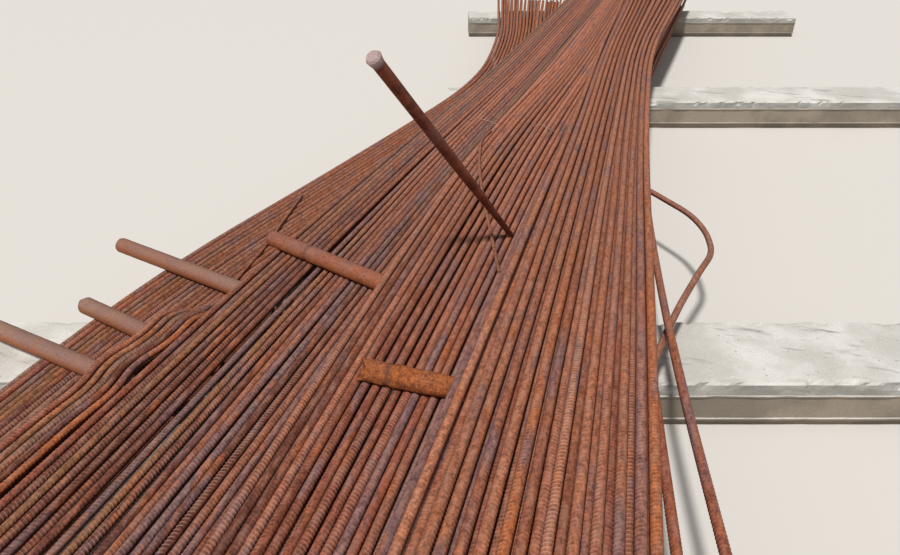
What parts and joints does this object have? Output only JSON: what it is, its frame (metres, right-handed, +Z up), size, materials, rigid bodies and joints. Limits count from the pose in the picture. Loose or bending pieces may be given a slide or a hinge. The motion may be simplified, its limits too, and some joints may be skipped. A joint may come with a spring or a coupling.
{
  "type": "rebar bundle",
  "caption": "Stepped heap of rusty ribbed reinforcing bars on concrete sleepers, with pipe offcuts across it as spacers.",
  "frame": {"origin": "middle of the underside of the middle sleeper, on the floor", "axes": "+Z up, +Y along the bars from their near ends to their far ends, +X across the heap towards its high, straight side"},
  "size_m": [3.3433, 6.1203, 0.9592],
  "materials": {
    "rusty_bar": "matte",
    "rusty_pipe": "matte",
    "dark_steel": "matte",
    "pale_wire": "matte",
    "concrete": "matte"
  },
  "bodies": {
    "root": {"bars_layer_1": "rusty_bar", "bars_layer_2": "rusty_bar", "bars_layer_3": "rusty_bar", "bars_layer_4": "rusty_bar", "bars_layer_5": "rusty_bar", "bars_layer_6": "rusty_bar", "loop_bar": "rusty_bar", "pipe_offcut_left": "rusty_pipe", "pipe_offcut_short": "rusty_pipe", "pipe_offcut_low": "rusty_pipe", "pipe_spacer_middle_bottom": "rusty_pipe", "pipe_spacer_far_bottom": "rusty_pipe", "pipe_spacer_near_lower": "rusty_pipe", "pipe_spacer_near_upper": "rusty_pipe", "pipe_spacer_middle_lower": "rusty_pipe", "pipe_spacer_middle_upper": "rusty_pipe", "pipe_spacer_far_lower": "rusty_pipe", "pipe_spacer_far_upper": "rusty_pipe", "sleeper_near": "concrete", "sleeper_middle": "concrete", "sleeper_far": "concrete", "stake": "dark_steel", "thin_rod_long": "rusty_bar", "thin_rod_short": "rusty_bar", "tie_wire_1": "pale_wire", "tie_wire_2": "pale_wire", "tie_wire_3": "pale_wire", "tie_wire_4": "pale_wire"}
  },
  "joints": []
}
